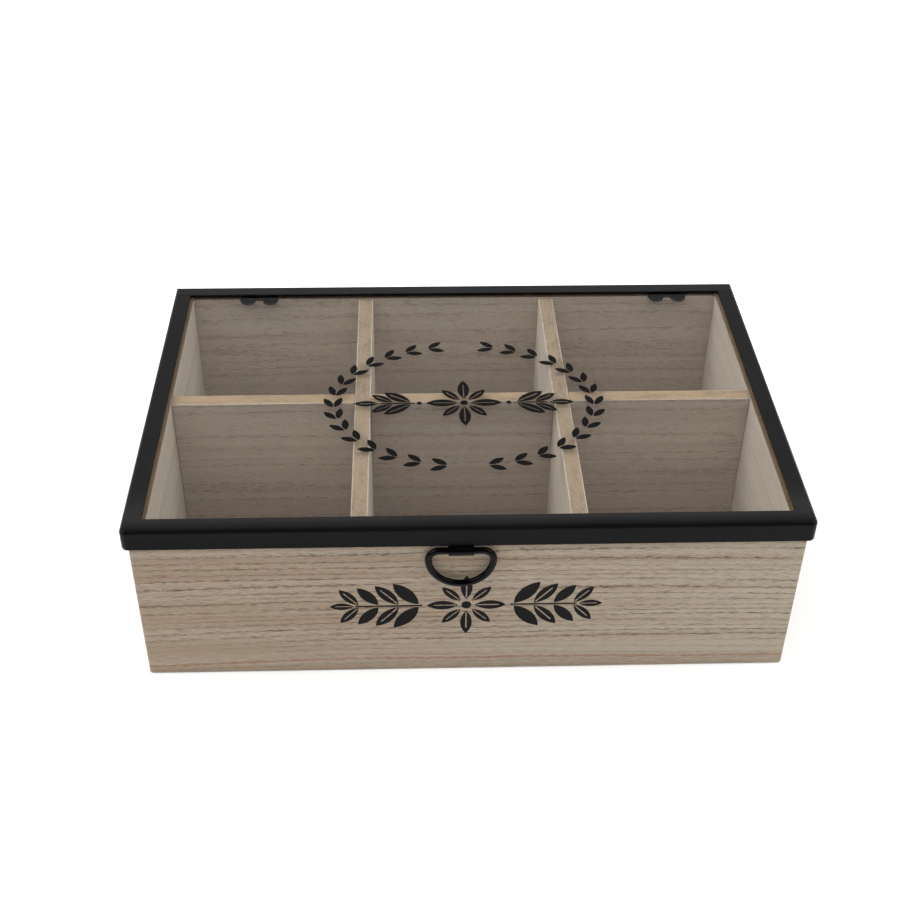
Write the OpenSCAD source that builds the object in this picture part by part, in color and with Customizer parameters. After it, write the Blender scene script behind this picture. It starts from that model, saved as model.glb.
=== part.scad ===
// Wooden organizer box with six compartments and a hinged glass lid in a steel frame.
// Origin: centre of the lid outline, on the surface the box stands on. X is width, Y points
// to the back, Z is up. Millimetres. The lid is drawn closed and the pull ring hangs down.

/* [Overall size] */
// Width over the lid frame
lid_w = 240; // [200:1:300]
// Depth over the lid frame
lid_d = 160; // [140:1:200]
// Height from the table to the top of the lid frame
total_h = 71; // [60:1:110]

/* [Box] */
// Thickness of the veneered panels
panel_t = 6; // [5:0.5:8]
// Thickness of the bottom board
bottom_t = 3; // [2.5:0.5:4]
// Thickness of the dividers
divider_t = 6; // [4:0.5:8]
// Distance of the two cross dividers from the middle
cross_offset = 38.5; // [34:0.5:42]
// Gap between the lid skirt and the wood at each end
side_gap = 1.2; // [0.8:0.1:2]
// Gap between the lid skirt and the wood at the front and back
front_gap = 0.8; // [0.6:0.1:1]
// Radius on the outer corners and edges of the panels
edge_r = 1.2; // [0.6:0.1:2]

/* [Lid frame] */
// Width of the flange that lies over the glass
flange_w = 6.8; // [5:0.1:10]
// Height of the front and side skirts
skirt_h = 8.2; // [7:0.1:10]
// Thickness of the frame sheet
sheet_t = 0.8; // [0.6:0.1:1]
// Outer radius of the bend between flange and skirt
bend_r = 1.5; // [1.3:0.1:2]
// Radius of the frame's front corners, seen from above
front_corner_r = 2.4; // [2.1:0.1:3]
// Radius of the frame's back corners, seen from above
back_corner_r = 0.5; // [0.3:0.1:2]
// Radius on the lower corners of the front and side skirts
skirt_corner_r = 1.9; // [0.5:0.1:2.5]
// Thickness of the glass
glass_t = 2; // [2:0.5:3]

/* [Hinges] */
// Place of the left hinge along the back
left_hinge_x = -84; // [-95:0.5:-60]
// Place of the right hinge along the back
right_hinge_x = 91; // [60:0.5:95]
// Length of each leaf from the pin to the end of its lobes
leaf_len = 11.7; // [10:0.1:13]
// Distance between the two lobes of a leaf
lobe_pitch = 9.4; // [8:0.1:11]
// Thickness of the leaf sheet
leaf_t = 0.8; // [0.6:0.1:0.8]

/* [Pull ring] */
// Place of the ring along the front
ring_x = -3.3; // [-20:0.1:20]
// Thickness of the ring wire
wire_d = 2.5; // [2:0.1:2.6]
// Width over the ring
ring_w = 25.2; // [20:0.1:30]
// Radius of the ring's upper corners, to the middle of the wire
ring_corner_r = 3.9; // [3:0.1:6]
// Width of the clip that holds the ring
clip_w = 8.8; // [6:0.1:10]

/* [Hidden] */
$fn = 64;
eps = 0.01;

// Lid
glass_top = total_h - sheet_t;
glass_bottom = glass_top - glass_t;
lid_gap = 0.3;                       // between the wall tops and the glass
glass_inset = bend_r;                // glass edge from the outside of the frame
mitre_gap = 0.05;                    // open seam between two rails at a corner
corner_sweep = 60;                   // a corner is swung this far, then cut at the 45 degree mitre
back_skirt_h = sheet_t + glass_t;    // the back skirt only covers the glass edge
back_skirt_corner_r = 0.5;           // radius on the lower corners of the back skirt
seal_h = glass_t - bend_r + sheet_t; // sealant beside the glass, below the bend
inner_x = lid_w / 2 - sheet_t;       // inside faces of the skirts
inner_y = lid_d / 2 - sheet_t;
glass_corner_r = front_corner_r - glass_inset;

// Box
box_w = 2 * (inner_x - side_gap);
box_d = 2 * (inner_y - front_gap);
wall_h = glass_bottom - lid_gap;
rebate = panel_t / 2;                // depth of the rebates that the panels sit in
inside_w = box_w - 2 * panel_t;
inside_d = box_d - 2 * panel_t;
divider_drop = 0.5;                  // divider tops below the wall tops
divider_top = wall_h - divider_drop;
divider_mid = (bottom_t + divider_top) / 2;
lap_play = 0.1;                      // play on each side in the lap joints
fit_play = 0.1;                      // divider ends to the walls

// Hinges
pin_r = 0.75;
pin_play = 0.05;
knuckle_r = 1.5;
knuckle_rest = 0.35;                 // knuckles clear of the wood and of the back skirt
hinge_y = box_d / 2 + knuckle_rest + knuckle_r;
hinge_z = glass_bottom - knuckle_rest - knuckle_r;
barrel_w = 12;
mid_knuckle_w = 3.9;
knuckle_gap = 0.3;
neck_len = 2.2;                      // from the pin to the flat of a leaf
seam = 0.2;                          // between the rolled end of a sheet and its flat
lobe_r = 3.1;
bore_r = pin_r + pin_play;
leaf_top = knuckle_rest + knuckle_r; // upper face of a leaf's flat above the pin
end_knuckle_w = (barrel_w - mid_knuckle_w) / 2 - knuckle_gap;
end_knuckle_x = (barrel_w - end_knuckle_w) / 2;
pin_head_r = 1.25;
pin_head_t = 0.6;
notch_play = 0.4;                    // notch in the back panel around the upper leaf
screw_r = 0.95;
screw_play = 0.05;
screw_len = 4.6;
screw_head_r = 1.8;
screw_head_h = 0.9;
screw_z = hinge_z - leaf_len + lobe_r;
hinge_places = [left_hinge_x, right_hinge_x];

// Ring and clip
wire_r = wire_d / 2;
ring_play = 0.05;
strap_t = 0.5;
ring_bore_r = wire_r + ring_play;
clip_r = ring_bore_r + strap_t;
skirt_bottom = total_h - skirt_h;
ring_z = skirt_bottom - clip_r;
ring_y = -inner_y + strap_t - clip_r;
strap_rest = 1.2;                    // end of the clip's tail below the glass
strap_top = glass_bottom - strap_rest;
ring_r = ring_w / 2 - wire_r;        // lower half circle, to the middle of the wire
ring_bar = 2 * (ring_r - ring_corner_r);

wood = "#a3917b";
wood_dark = "#8a7a6c";
steel = "#2e2e2e";

// ---- box panels ----

// Rectangle w by d round the origin, with rounded corners.
module rounded_rect(w, d, r) {
    square([w - 2 * r, d], center = true);
    square([w, d - 2 * r], center = true);
    for (sx = [-1, 1], sy = [-1, 1])
        translate([sx * (w / 2 - r), sy * (d / 2 - r)]) circle(r);
}

// Outline w wide that stands on y = 0, with rounded lower corners and a flat top at h.
module foot_outline(w, h, r) {
    translate([-w / 2, r]) square([w, h - r]);
    translate([-w / 2 + r, 0]) square([w - 2 * r, h]);
    for (s = [-1, 1])
        translate([s * (w / 2 - r), r]) circle(r);
}

// Outer form of the whole box: every outer edge is eased but those at the top.
module box_form() {
    intersection() {
        linear_extrude(wall_h) rounded_rect(box_w, box_d, edge_r);
        rotate([90, 0, 0]) linear_extrude(2 * box_d, center = true)
            foot_outline(box_w, wall_h, edge_r);
        rotate([90, 0, 90]) linear_extrude(2 * box_w, center = true)
            foot_outline(box_d, wall_h, edge_r);
    }
}

// Space of the bottom board, in rebates half a panel deep.
module bottom_space() {
    translate([0, 0, bottom_t / 2])
        cube([inside_w + 2 * rebate, inside_d + 2 * rebate, bottom_t], center = true);
}

// Space of the two side panels between the front and the back.
module side_space() {
    for (s = [-1, 1])
        translate([s * (box_w - panel_t) / 2, 0, wall_h / 2])
            cube([panel_t + 2 * eps, inside_d + 2 * rebate, wall_h + 2], center = true);
}

// Full-width panel at the back; mirrored, it is the front.
module end_panel() {
    difference() {
        intersection() {
            box_form();
            translate([0, box_d / 2, wall_h / 2])
                cube([2 * box_w, 2 * panel_t, 2 * wall_h], center = true);
        }
        side_space();
        translate([0, 0, -eps]) bottom_space();
        bottom_space();
    }
}

module front_panel() {
    color(wood) mirror([0, 1, 0]) end_panel();
}

module back_panel() {
    color(wood) difference() {
        end_panel();
        for (x = hinge_places) {
            translate([x, box_d / 2, wall_h]) hinge_notch();
            screw_places(x) cylinder(r = screw_r + screw_play, h = 2 * screw_len, center = true);
        }
    }
}

// Shallow notch in the top edge of the back panel under one hinge leaf.
module hinge_notch() {
    notch_w = lobe_pitch + 2 * (lobe_r + notch_play);
    notch_h = wall_h - (glass_bottom - leaf_t) + notch_play;
    translate([-notch_w / 2, -panel_t - 1, -notch_h])
        cube([notch_w, panel_t + 2, notch_h + 1]);
}

// Left or right panel, s = -1 or 1, between the rebates of the front and the back.
module side_panel(s) {
    color(wood) difference() {
        intersection() {
            box_form();
            translate([s * box_w / 2, 0, wall_h / 2])
                cube([2 * panel_t, inside_d + 2 * rebate, 2 * wall_h], center = true);
        }
        translate([0, 0, -eps]) bottom_space();
        bottom_space();
    }
}

module bottom_panel() {
    color(wood_dark) bottom_space();
}

// ---- dividers, halved into each other ----

// Slot of a lap joint at x, height high from from_z upwards.
module lap_slot(x, from_z, height) {
    translate([x, 0, from_z + height / 2])
        cube([divider_t + 2 * lap_play, divider_t + 2 * lap_play, height], center = true);
}

module long_divider() {
    color(wood) difference() {
        translate([0, 0, (bottom_t + divider_top) / 2])
            cube([inside_w - 2 * fit_play, divider_t, divider_top - bottom_t], center = true);
        for (s = [-1, 1])
            lap_slot(s * cross_offset, divider_mid, divider_top);
    }
}

// Cross divider, s = -1 or 1, pushed down over the long one.
module cross_divider(s) {
    color(wood) difference() {
        translate([s * cross_offset, 0, (bottom_t + divider_top) / 2])
            cube([divider_t, inside_d - 2 * fit_play, divider_top - bottom_t], center = true);
        lap_slot(s * cross_offset, -eps, divider_mid + eps);
    }
}

// ---- lid ----

// Section of a rail: u = 0 is its outside face, v = 0 its top.
module rail_section(skirt) {
    translate([bend_r, -sheet_t]) square([flange_w - bend_r, sheet_t]);
    translate([0, -skirt]) square([sheet_t, skirt - bend_r]);
    translate([bend_r, -bend_r]) intersection() {
        difference() {
            circle(bend_r);
            circle(bend_r - sheet_t);
        }
        translate([-bend_r, 0]) square(bend_r);
    }
}

// Corner of a rail: its section swung through radius r past the mitre, to the right of -Y
// for side 1, to the left for side -1.
module rail_corner(skirt, r, side) {
    rotate([0, 0, side > 0 ? -90 : -90 - corner_sweep]) rotate_extrude(angle = corner_sweep)
        intersection() {
            translate([r, 0]) mirror([1, 0]) rail_section(skirt);
            translate([0, -skirt]) square([r, skirt]);
        }
}

// Rail of length len along X at the front, mitred, its outside face at y = 0.
// left_r and right_r are its corners' radii seen from above, lower_r rounds its skirt's ends.
module rail(len, skirt, left_r, right_r, lower_r) {
    half = len / 2 - mitre_gap;
    run = len - left_r - right_r;
    intersection() {
        union() {
            translate([left_r - len / 2, 0, 0]) rotate([90, 0, 90])
                linear_extrude(run) rail_section(skirt);
            translate([left_r - len / 2, left_r, 0]) rail_corner(skirt, left_r, -1);
            translate([len / 2 - right_r, right_r, 0]) rail_corner(skirt, right_r, 1);
        }
        translate([0, 0, -2 * skirt_h]) linear_extrude(3 * skirt_h)
            polygon([[-half, 0], [half, 0], [half - flange_w, flange_w], [flange_w - half, flange_w]]);
        translate([0, 0, -skirt]) rotate([90, 0, 0]) linear_extrude(4 * flange_w, center = true)
            foot_outline(len, 2 * skirt, lower_r);
    }
}

module lid_front_rail() {
    color(steel) translate([0, -lid_d / 2, total_h])
        rail(lid_w, skirt_h, front_corner_r, front_corner_r, skirt_corner_r);
}

module lid_back_rail() {
    color(steel) translate([0, lid_d / 2, total_h]) rotate([0, 0, 180])
        rail(lid_w, back_skirt_h, back_corner_r, back_corner_r, back_skirt_corner_r);
}

// Side rail, s = -1 left or 1 right.
module side_rail(s) {
    left_r = s > 0 ? front_corner_r : back_corner_r;
    right_r = s > 0 ? back_corner_r : front_corner_r;
    color(steel) translate([s * lid_w / 2, 0, total_h]) rotate([0, 0, s * 90])
        rail(lid_d, skirt_h, left_r, right_r, skirt_corner_r);
}

module glass_outline() {
    rounded_rect(lid_w - 2 * glass_inset, lid_d - 2 * glass_inset, glass_corner_r);
}

module glass_pane() {
    color("lightblue", 0.4) translate([0, 0, glass_bottom]) linear_extrude(glass_t) glass_outline();
}

// Bead of sealant between the glass edge and the skirts.
module glass_seal() {
    color("dimgray") translate([0, 0, glass_bottom]) linear_extrude(seal_h) difference() {
        rounded_rect(2 * inner_x, 2 * inner_y, front_corner_r - sheet_t);
        glass_outline();
    }
}

// ---- hinges ----

// Outline of the flat of a leaf, seen square on: the pin lies along X and the lobes towards -Y.
module leaf_outline() {
    lobe_y = lobe_r - leaf_len;
    difference() {
        union() {
            translate([-barrel_w / 2, -leaf_len / 2]) square([barrel_w, leaf_len / 2 - neck_len]);
            for (s = [-1, 1]) translate([s * lobe_pitch / 2, lobe_y]) {
                circle(lobe_r);
                translate([-lobe_r, 0]) square([2 * lobe_r, lobe_r]);
            }
        }
        // waist between the lobes
        translate([0, lobe_y]) circle(lobe_pitch / 2 - lobe_r);
        translate([lobe_r - lobe_pitch / 2, lobe_y - 2 * lobe_r])
            square([lobe_pitch - 2 * lobe_r, 2 * lobe_r]);
    }
}

// Section of a knuckle: the sheet leaves the flat at x = -neck_len and is rolled round the pin.
module knuckle_section() {
    flat_bottom = leaf_top - leaf_t;
    difference() {
        union() {
            circle(knuckle_r);
            polygon([[0, knuckle_r], [-neck_len, leaf_top], [-neck_len, flat_bottom], [0, bore_r]]);
        }
        circle(bore_r);
        polygon([[0, bore_r], [-neck_len, flat_bottom], [-neck_len, flat_bottom - seam], [0, bore_r - seam]]);
    }
}

// Hinge leaf whose pin is the X axis: its flat lies above the pin, its lobes point to -Y.
// knuckles holds the middle and the width of each knuckle.
module leaf(knuckles) {
    translate([0, 0, leaf_top - leaf_t]) linear_extrude(leaf_t) leaf_outline();
    for (k = knuckles)
        translate([k[0], 0, 0]) rotate([90, 0, 90])
            linear_extrude(k[1], center = true) knuckle_section();
}

// Upper leaf: flat under the glass, with the middle knuckle.
module upper_leaf(x) {
    color(steel) translate([x, hinge_y, hinge_z]) leaf([[0, mid_knuckle_w]]);
}

// Lower leaf: upright on the outside of the back panel, with the two end knuckles.
module lower_leaf(x) {
    color(steel) difference() {
        translate([x, hinge_y, hinge_z]) rotate([90, 0, 0])
            leaf([for (s = [-1, 1]) [s * end_knuckle_x, end_knuckle_w]]);
        screw_places(x) cylinder(r = screw_r + 2 * screw_play, h = 4 * leaf_t, center = true);
    }
}

module hinge_pin(x) {
    color("silver") translate([x, hinge_y, hinge_z]) rotate([0, 90, 0]) {
        cylinder(r = pin_r, h = barrel_w, center = true);
        for (s = [-1, 1])
            translate([0, 0, s * (barrel_w + pin_head_t) / 2])
                cylinder(r = pin_head_r, h = pin_head_t, center = true);
    }
}

// Children are placed at both screws of the hinge at x, with +Z pointing out of the back.
module screw_places(x) {
    for (s = [-1, 1])
        translate([x + s * lobe_pitch / 2, box_d / 2, screw_z]) rotate([-90, 0, 0]) children();
}

// Round-head wood screw whose head sits on the leaf.
module screw() {
    head_sphere_r = (screw_head_r * screw_head_r + screw_head_h * screw_head_h) / (2 * screw_head_h);
    translate([0, 0, leaf_t - screw_len]) cylinder(r = screw_r, h = screw_len);
    translate([0, 0, leaf_t]) intersection() {
        translate([0, 0, screw_head_h - head_sphere_r]) sphere(head_sphere_r);
        cylinder(r = screw_head_r + 1, h = screw_head_h + 1);
    }
}

module hinge_screws() {
    color("silver") for (x = hinge_places) screw_places(x) screw();
}

// ---- pull ring ----

// Sheet strip rolled round the ring's bar, its tail up behind the front skirt.
module ring_clip() {
    color(steel) translate([ring_x, ring_y, ring_z]) rotate([90, 0, 90])
        linear_extrude(clip_w, center = true) difference() {
            union() {
                circle(clip_r);
                translate([clip_r - strap_t, 0]) square([strap_t, strap_top - ring_z]);
            }
            circle(ring_bore_r);
            // seam between the end of the strip and its tail
            translate([clip_r - strap_t - seam, 0]) square([seam, 2 * clip_r]);
        }
}

// D-shaped wire ring hanging from its straight bar.
module pull_ring() {
    color(steel) translate([ring_x, ring_y, ring_z]) {
        rotate([0, 90, 0]) cylinder(r = wire_r, h = ring_bar, center = true);
        for (s = [-1, 1])
            translate([s * ring_bar / 2, 0, -ring_corner_r]) mirror([s < 0 ? 1 : 0, 0, 0])
                wire_arc(ring_corner_r, 0, 90);
        translate([0, 0, -ring_corner_r]) wire_arc(ring_r, 180, 180);
    }
}

// Bent wire in the XZ plane, from angle a through sweep degrees.
module wire_arc(r, a, sweep) {
    rotate([90, 0, 0]) rotate([0, 0, a]) rotate_extrude(angle = sweep)
        translate([r, 0]) circle(wire_r);
}

front_panel();
back_panel();
side_panel(-1);  // left_panel
side_panel(1);  // right_panel
bottom_panel();
long_divider();
cross_divider(-1);  // left_cross_divider
cross_divider(1);  // right_cross_divider
lid_front_rail();
lid_back_rail();
side_rail(-1);  // lid_left_rail
side_rail(1);  // lid_right_rail
glass_pane();
glass_seal();
upper_leaf(left_hinge_x);  // left_hinge_upper_leaf
lower_leaf(left_hinge_x);  // left_hinge_lower_leaf
hinge_pin(left_hinge_x);  // left_hinge_pin
upper_leaf(right_hinge_x);  // right_hinge_upper_leaf
lower_leaf(right_hinge_x);  // right_hinge_lower_leaf
hinge_pin(right_hinge_x);  // right_hinge_pin
hinge_screws();
ring_clip();
pull_ring();
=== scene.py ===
"""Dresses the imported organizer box: veneered boards, painted steel, glass and printed ornaments.

Metres throughout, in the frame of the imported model: X is width, Y points to the back, Z is up.
"""

import logging
import math
from dataclasses import dataclass, field, replace
from enum import Enum
from typing import Any

import bpy
from mathutils import Matrix, Vector


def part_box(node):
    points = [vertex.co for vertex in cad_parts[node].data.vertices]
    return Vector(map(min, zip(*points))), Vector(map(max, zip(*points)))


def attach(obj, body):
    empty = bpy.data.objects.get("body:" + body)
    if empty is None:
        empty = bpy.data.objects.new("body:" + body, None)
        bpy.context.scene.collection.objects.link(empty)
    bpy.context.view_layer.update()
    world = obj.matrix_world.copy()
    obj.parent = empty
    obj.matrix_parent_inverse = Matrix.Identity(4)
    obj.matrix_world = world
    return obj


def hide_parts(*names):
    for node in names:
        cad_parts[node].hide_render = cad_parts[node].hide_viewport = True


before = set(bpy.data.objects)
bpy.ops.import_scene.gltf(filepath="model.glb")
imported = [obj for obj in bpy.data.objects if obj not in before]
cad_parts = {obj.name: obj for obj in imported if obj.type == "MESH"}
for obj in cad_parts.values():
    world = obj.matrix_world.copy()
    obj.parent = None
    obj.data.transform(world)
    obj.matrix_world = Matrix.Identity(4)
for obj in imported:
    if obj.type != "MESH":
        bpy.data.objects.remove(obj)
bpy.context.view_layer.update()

logging.basicConfig(level=logging.INFO, format="%(message)s")
log = logging.getLogger("tea_box")

Material = bpy.types.Material
Piece = bpy.types.Object
Socket = bpy.types.NodeSocket
Tree = bpy.types.NodeTree

MM = 0.001
SHARP_EDGE = math.radians(35)  # edges that turn by more than this are rounded
LEVEL_FACES = math.radians(1)  # triangles that turn by less than this are one face
SAME_CORNER = 0.001 * MM

# Inputs and output of the Mix node, whose sockets share their names.
NUMBER_A, NUMBER_B, COLOUR_A, COLOUR_B, MIXED_COLOUR = 2, 3, 6, 7, 2
RANGE = ("Value", "From Min", "From Max", "To Min", "To Max")
SMOOTH = {"interpolation_type": "SMOOTHSTEP"}


# ---------------------------------------------------------------- helpers


def linear(hex_colour: str) -> tuple[float, float, float, float]:
    """Turns an sRGB hex colour into Blender's linear RGBA.

    Args:
        hex_colour: six hex digits after a hash sign.

    Returns:
        Linear red, green, blue and an alpha of 1.
    """
    channels = [int(hex_colour[i : i + 2], 16) / 255 for i in (1, 3, 5)]
    red, green, blue = (
        c / 12.92 if c <= 0.04045 else ((c + 0.055) / 1.055) ** 2.4 for c in channels
    )
    return red, green, blue, 1.0


def add_node(
    tree: Tree,
    kind: str,
    inputs: dict[str | int, Any] | None = None,
    output: str | int = 0,
    **settings: Any,
) -> Socket:
    """Adds a shader node with its settings, values and links.

    Args:
        tree: the material's node tree.
        kind: the node's type name.
        inputs: value or source socket for each input, by name or index.
        output: the output to hand back, by name or index.
        settings: properties of the node.

    Returns:
        The socket of that output.
    """
    made = tree.nodes.new(kind)
    for name, value in settings.items():
        setattr(made, name, value)
    for key, value in (inputs or {}).items():
        if isinstance(value, Socket):
            tree.links.new(value, made.inputs[key])
        else:
            made.inputs[key].default_value = value
    return made.outputs[output]


def new_material(name: str) -> tuple[Material, Tree, Socket]:
    """Starts a node material with nothing but its output.

    Args:
        name: the material's name.

    Returns:
        The material, its tree and the socket that its shader goes to.
    """
    material = bpy.data.materials.new(name)
    material.use_nodes = True
    tree = material.node_tree
    tree.nodes.clear()
    return material, tree, tree.nodes.new("ShaderNodeOutputMaterial").inputs["Surface"]


def paint(piece: Piece, material: Material) -> None:
    """Gives a piece one material in place of those that it has."""
    piece.data.materials.clear()
    piece.data.materials.append(material)


def deselect() -> None:
    """Deselects every object, so that the next operator acts on its own piece alone."""
    for each in bpy.context.selected_objects:
        each.select_set(False)


def pick(piece: Piece) -> None:
    """Makes a piece the only selected one and the active one.

    Args:
        piece: the object to work on.
    """
    deselect()
    piece.select_set(True)
    bpy.context.view_layer.objects.active = piece


def apply_modifiers(piece: Piece) -> None:
    """Applies a piece's modifiers in their order.

    Args:
        piece: the object that has them.
    """
    pick(piece)
    for modifier in list(piece.modifiers):
        bpy.ops.object.modifier_apply(modifier=modifier.name)


def add_bevel(piece: Piece, width: float, segments: int = 3) -> None:
    """Adds a bevel on the sharp edges of a piece.

    Args:
        piece: the object to soften.
        width: width of the bevel.
        segments: steps across it.
    """
    bevel = piece.modifiers.new("eased_edges", "BEVEL")
    bevel.width = width
    bevel.segments = segments
    bevel.limit_method = "ANGLE"
    bevel.angle_limit = SHARP_EDGE


def dress_node(name: str, finish: Material, eased: float = 0.0) -> None:
    """Paints a CAD node, rounds its edges with modifiers where that is asked, and reports it.

    Args:
        name: the node's name.
        finish: its material.
        eased: width of the rounding, or 0 for none.
    """
    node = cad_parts[name]
    paint(node, finish)
    if eased:
        weld = node.modifiers.new("weld", "WELD")
        weld.merge_threshold = SAME_CORNER
        flat = node.modifiers.new("flat_faces", "DECIMATE")
        flat.decimate_type = "DISSOLVE"
        flat.angle_limit = LEVEL_FACES
        add_bevel(node, eased)
    log.info("%s: %s", name, finish.name)


def cut(piece: Piece, tool: Piece, operation: str = "DIFFERENCE") -> None:
    """Cuts one mesh with another and removes the tool.

    Args:
        piece: the mesh that stays.
        tool: the mesh that cuts it.
        operation: DIFFERENCE, UNION or INTERSECT.
    """
    boolean = piece.modifiers.new("cut", "BOOLEAN")
    boolean.object = tool
    boolean.operation = operation
    boolean.solver = "EXACT"
    apply_modifiers(piece)
    bpy.data.objects.remove(tool)


def name_new(name: str) -> Piece:
    """Names the primitive just added, and moves its place and scale into its mesh.

    Args:
        name: its name.

    Returns:
        The piece, at the origin.
    """
    piece = bpy.context.active_object
    piece.name = name
    pick(piece)
    bpy.ops.object.transform_apply(location=True, rotation=True, scale=True)
    return piece


def add_box(name: str, centre: Vector, size: Vector) -> Piece:
    """Adds a block with its place and size in its mesh.

    Args:
        name: the object's name.
        centre: middle of the block.
        size: its three sides.

    Returns:
        The block.
    """
    deselect()
    bpy.ops.mesh.primitive_cube_add(size=1, location=centre, scale=size)
    return name_new(name)


def add_cylinder(name: str, centre: Vector, radius: float, depth: float, vertices: int) -> Piece:
    """Adds a cylinder that stands along Z.

    Args:
        name: the object's name.
        centre: its middle.
        radius: its radius.
        depth: its length along Z.
        vertices: corners round it.

    Returns:
        The cylinder.
    """
    deselect()
    bpy.ops.mesh.primitive_cylinder_add(
        radius=radius, depth=depth, location=centre, vertices=vertices
    )
    return name_new(name)


def copy_of(piece: Piece, place: Matrix) -> Piece:
    """Copies a piece with a mesh of its own, placed by a matrix.

    Args:
        piece: the piece modelled once.
        place: where the copy goes.

    Returns:
        The copy, with its place in its mesh.
    """
    twin = bpy.data.objects.new(piece.name + "_copy", piece.data.copy())
    bpy.context.scene.collection.objects.link(twin)
    twin.data.transform(place)
    return twin


def join(pieces: list[Piece], name: str) -> Piece:
    """Joins pieces into one.

    Args:
        pieces: the objects to join.
        name: the name of the result.

    Returns:
        The joined object.
    """
    pick(pieces[0])
    for each in pieces:
        each.select_set(True)
    bpy.ops.object.join()
    joined = bpy.context.active_object
    joined.name = name
    return joined


def settle(piece: Piece, body: str, slot: str, *replaced: str) -> None:
    """Attaches a finished piece to its body and hides the CAD nodes that it stands for.

    Args:
        piece: the finished piece.
        body: the body that it rides on.
        slot: not used.
        replaced: CAD nodes that it stands for.
    """
    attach(piece, body)
    if replaced:
        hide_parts(*replaced)
    log.info("%s: %d faces, on %s", piece.name, len(piece.data.polygons), body)


# ---------------------------------------------------------------- veneer


class Grain(Enum):
    """Direction in which a board's grain runs."""

    ALONG_X = "x"
    ALONG_Y = "y"


@dataclass(frozen=True)
class Figure:
    """How one face of ash veneer is figured: its colours, its growth rings and its pores.

    Heights are measured from the foot of the box. A face without a calm foot or a rosy streak has
    them far below it.
    """

    light: str = "#9c9181"
    dark: str = "#8c7b68"
    ring: str = "#432e1e"
    blush: str = "#876650"
    ring_gap: float = 2.9 * MM
    ring_half_w: float = 0.5 * MM
    ring_depth: float = 1.0
    pore_depth: float = 0.4
    wander: float = 4 * MM
    jog: float = 1.5 * MM
    bow: float = 1.5 * MM
    calm_below: float = -1.0
    streak_at: float = -1.0
    # painted light: the face lightens steadily towards +X, as if more light fell on its right side
    painted_light_drift: float = 0.0


BOLD = Figure()
FRONT = Figure(calm_below=15 * MM, streak_at=8.6 * MM, painted_light_drift=0.16)
# SOFT and PALE, the inner faces' veneer, are lighter than the outer faces' BOLD: painted light that
# makes up for the light the cells lack.
SOFT = Figure(
    light="#bbaa9d",
    dark="#b09e91",
    ring="#6b5544",
    blush="#a98876",
    ring_gap=8 * MM,
    ring_half_w=0.65 * MM,
    ring_depth=0.42,
    pore_depth=0.5,
    wander=7 * MM,
    jog=2.8 * MM,
)
PALE = replace(SOFT, light="#bbada1", dark="#b0a195", ring_depth=0.22, pore_depth=0.15)


@dataclass(frozen=True)
class Layer:
    """One layer of noise on a board: length and width of a feature, finer octaves and shift.

    Its steps are the noise values between which it rises, and its least and greatest effect.
    """

    along: float
    across: float
    detail: float
    seed: float
    steps: tuple[float, ...] = ()


# Real pores and fibres are some 0.1 mm wide, too fine to show, so they are drawn three times so.
PORES = Layer(3 * MM, 0.3 * MM, 2.0, 6.6, (0.36, 0.54, 0.36, 1.0))
FIBRES = Layer(5 * MM, 0.33 * MM, 3.0, 2.2)
WANDER = Layer(130 * MM, 26 * MM, 1.5, 3.1)
JOGS = Layer(2.2 * MM, 1.4 * MM, 2.0, 7.7)
YEARS = Layer(500 * MM, 9 * MM, 0.0, 1.3)
DASHES = Layer(2.6 * MM, 1 * MM, 2.0, 2.7, (0.36, 0.6, 0.5, 1.0))
FADING = Layer(60 * MM, 4 * MM, 1.0, 9.4, (0.34, 0.6, 0.25, 1.0))
BANDS = Layer(260 * MM, 5 * MM, 1.0, 4.4)
BLUSH = Layer(90 * MM, 4 * MM, 1.0, 8.8, (0.58, 0.8, 0.0, 0.3))
FUZZ = Layer(1.8 * MM, 0.7 * MM, 3.0, 6.1)
MOTTLE = Layer(12 * MM, 3 * MM, 2.0, 1.9)
CHIPS = Layer(1.6 * MM, 1.6 * MM, 2.0, 3.3)


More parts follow.
